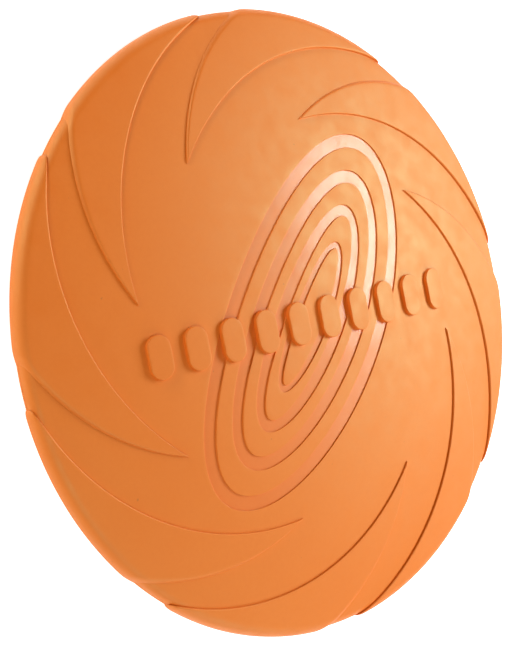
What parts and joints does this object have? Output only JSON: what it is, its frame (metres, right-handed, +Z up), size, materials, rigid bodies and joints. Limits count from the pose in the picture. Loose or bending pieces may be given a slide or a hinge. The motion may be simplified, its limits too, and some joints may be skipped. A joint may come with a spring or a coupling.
{
  "type": "flying disc",
  "caption": "Soft rubber throwing disc with a shallow crown, a low rounded rim, raised swirl blades, sunk elliptical channels and a row of plain grip pads.",
  "frame": {"origin": "centre of the disc, in the plane of the rim's flat foot", "axes": "+Z up through the crown, +Y along the long axis of the elliptical channels"},
  "size_m": [0.22, 0.22, 0.0228],
  "materials": {
    "matte_rubber": "matte, fine moulded grain",
    "polished_rubber": "polished mould face, soft gloss"
  },
  "bodies": {
    "root": {"flight_plate": "matte_rubber", "center_web": "polished_rubber", "ring_band_outer": "matte_rubber", "ring_band_middle": "matte_rubber", "ring_band_inner": "matte_rubber", "center_island": "matte_rubber", "rim_shoulder": "matte_rubber", "rim_lip": "matte_rubber", "swirl_blade_1": "matte_rubber", "swirl_blade_2": "matte_rubber", "swirl_blade_3": "matte_rubber", "swirl_blade_4": "matte_rubber", "swirl_blade_5": "matte_rubber", "swirl_blade_6": "matte_rubber", "swirl_blade_7": "matte_rubber", "swirl_blade_8": "matte_rubber", "grip_pad_1": "matte_rubber", "grip_pad_2": "matte_rubber", "grip_pad_3": "matte_rubber", "grip_pad_4": "matte_rubber", "grip_pad_5": "matte_rubber", "grip_pad_6": "matte_rubber", "grip_pad_7": "matte_rubber", "grip_pad_8": "matte_rubber", "grip_pad_9": "matte_rubber", "grip_pad_10": "matte_rubber"}
  },
  "joints": []
}
